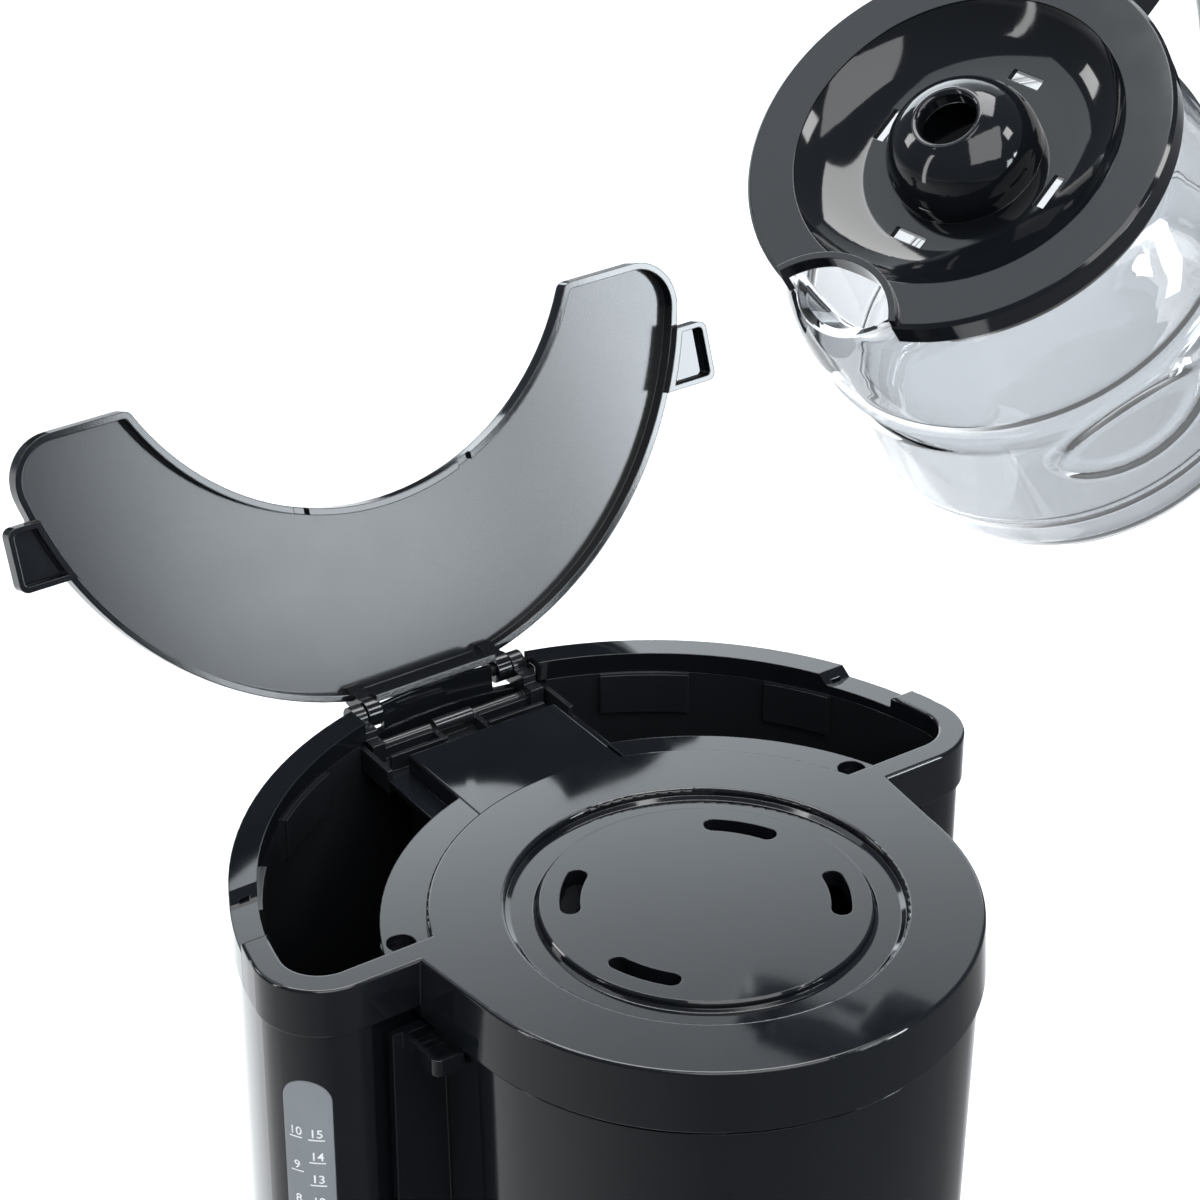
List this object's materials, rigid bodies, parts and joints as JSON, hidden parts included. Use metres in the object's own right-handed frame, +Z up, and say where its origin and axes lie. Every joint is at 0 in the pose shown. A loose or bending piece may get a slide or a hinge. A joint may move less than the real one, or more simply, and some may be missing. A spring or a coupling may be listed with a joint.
{
  "type": "drip coffee maker",
  "caption": "Black drip coffee maker with its tank lid open, a swing-out filter, and a glass carafe tipped as for filling the water tank.",
  "frame": {"origin": "on the table, under the centre of the hot plate and of the round filter cover", "axes": "+Z up, -Y to the machine's front, +X to its right as seen from the front"},
  "size_m": [0.3759, 0.2586, 0.5166],
  "materials": {
    "black_gloss": "high gloss",
    "black_satin": "satin",
    "smoke_window": "smoke grey, see-through on the real one",
    "steel": "plain",
    "silicone": "matt",
    "rubber": "matt",
    "enamel": "satin non-stick coat",
    "aluminium": "as drawn",
    "sleeve": "woven sleeve",
    "glass": "clear",
    "red_lens": "clear red"
  },
  "bodies": {
    "machine": {"rear_housing": "black_gloss", "top_cover": "black_gloss", "vent_disc": "black_gloss", "cover_screws": "steel", "channel_cover": "black_gloss", "level_window": "smoke_window", "water_tank": "black_satin", "hinge_bracket": "black_satin", "lid_hinge_pins": "black_satin", "filter_swing_pin": "steel", "riser_tube": "aluminium", "water_spout": "black_satin", "shower_head": "black_satin", "base_housing": "black_gloss", "bottom_plate": "black_satin", "rubber_feet": "rubber", "bottom_screws": "steel", "hot_plate": "enamel", "hot_plate_seal": "silicone", "heating_element": "aluminium", "water_heating_tube": "aluminium", "heater_clamp": "steel", "thermostat": "steel", "thermal_fuses": "sleeve", "inlet_hose": "silicone", "outlet_hose": "silicone", "check_valve": "black_satin", "hose_clamps": "steel", "cord_gland": "rubber", "switch_bezel": "black_gloss", "switch_body": "black_satin"},
    "tank_lid": {"tank_lid": "black_gloss"},
    "swing_filter": {"filter_housing": "black_gloss", "filter_basket": "black_satin", "drip_stop_cage": "black_satin", "drip_stop_spring": "steel"},
    "drip_stop": {"drip_stop_valve": "black_satin", "drip_stop_seal": "silicone"},
    "rocker": {"power_rocker": "black_satin", "rocker_lens": "red_lens"},
    "carafe": {"carafe_glass": "glass", "carafe_band": "steel", "carafe_handle": "black_gloss", "carafe_lid_pin": "steel", "handle_screw": "steel"},
    "carafe_lid": {"carafe_lid": "black_gloss"}
  },
  "joints": [
    {"name": "tank_lid_hinge", "type": "hinge", "parent": "machine", "child": "tank_lid", "pos_m": [0, 0.1332, 0.3059], "axis": [1, 0, 0], "range_deg": [0, 109.8]},
    {"name": "filter_swing", "type": "hinge", "parent": "machine", "child": "swing_filter", "pos_m": [0.0815, 0.0194, 0.235], "axis": [0, 0, 1], "range_deg": [0, 100]},
    {"name": "drip_stop_lift", "type": "slide", "parent": "swing_filter", "child": "drip_stop", "axis": [0, 0, 1], "range_m": [0, 0.004], "stiffness_N_per_m": 250, "springref_m": -0.004, "deforming": ["drip_stop_spring"]},
    {"name": "power_switch", "type": "hinge", "parent": "machine", "child": "rocker", "pos_m": [0, -0.075, 0.023], "axis": [-1, 0, 0], "range_deg": [0, 14]},
    {"name": "carafe_pour", "type": "hinge", "parent": "machine", "child": "carafe", "pos_m": [0.1946, 0.08532, 0.51848], "axis": [-0.2622, 0.965, 0], "range_deg": [0, 35.6]},
    {"name": "carafe_lid_hinge", "type": "hinge", "parent": "carafe", "child": "carafe_lid", "pos_m": [0.17886, 0.07597, 0.50413], "axis": [-0.1998, 0.9788, 0.0457], "range_deg": [0, 85]}
  ]
}
